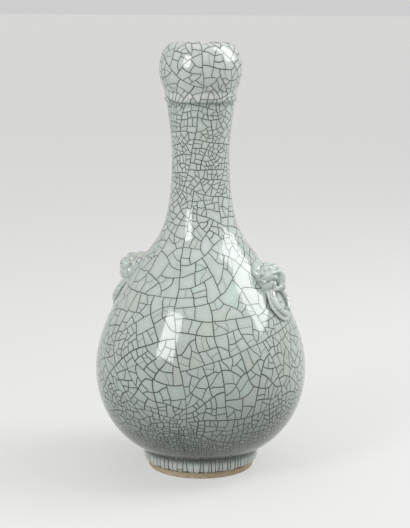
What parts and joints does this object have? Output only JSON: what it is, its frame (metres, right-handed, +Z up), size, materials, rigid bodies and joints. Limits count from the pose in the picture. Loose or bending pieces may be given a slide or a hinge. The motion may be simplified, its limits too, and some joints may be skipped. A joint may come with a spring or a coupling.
{
  "type": "garlic-mouth bottle vase",
  "caption": "Pear-shaped crackle-glazed bottle vase with a slender neck, a garlic-bulb mouth, a low foot ring and animal-mask handles holding mock rings.",
  "frame": {"origin": "centre of the foot ring on the surface that the vase stands on", "axes": "+Z up along the axis of the vase; the two mask handles face +X (right) and -X (left)"},
  "size_m": [0.199, 0.199, 0.4],
  "materials": {
    "glazed_stoneware": "glossy pale blue-green celadon glaze with a network of grey-brown crackle lines",
    "biscuit": "unglazed tan-brown fired rim of the foot ring"
  },
  "bodies": {
    "root": {"foot_ring": "glazed_stoneware", "lower_body": "glazed_stoneware", "upper_body": "glazed_stoneware", "neck": "glazed_stoneware", "garlic_mouth": "glazed_stoneware", "right_mask": "glazed_stoneware", "right_ring": "glazed_stoneware", "left_mask": "glazed_stoneware", "left_ring": "glazed_stoneware"}
  },
  "joints": []
}
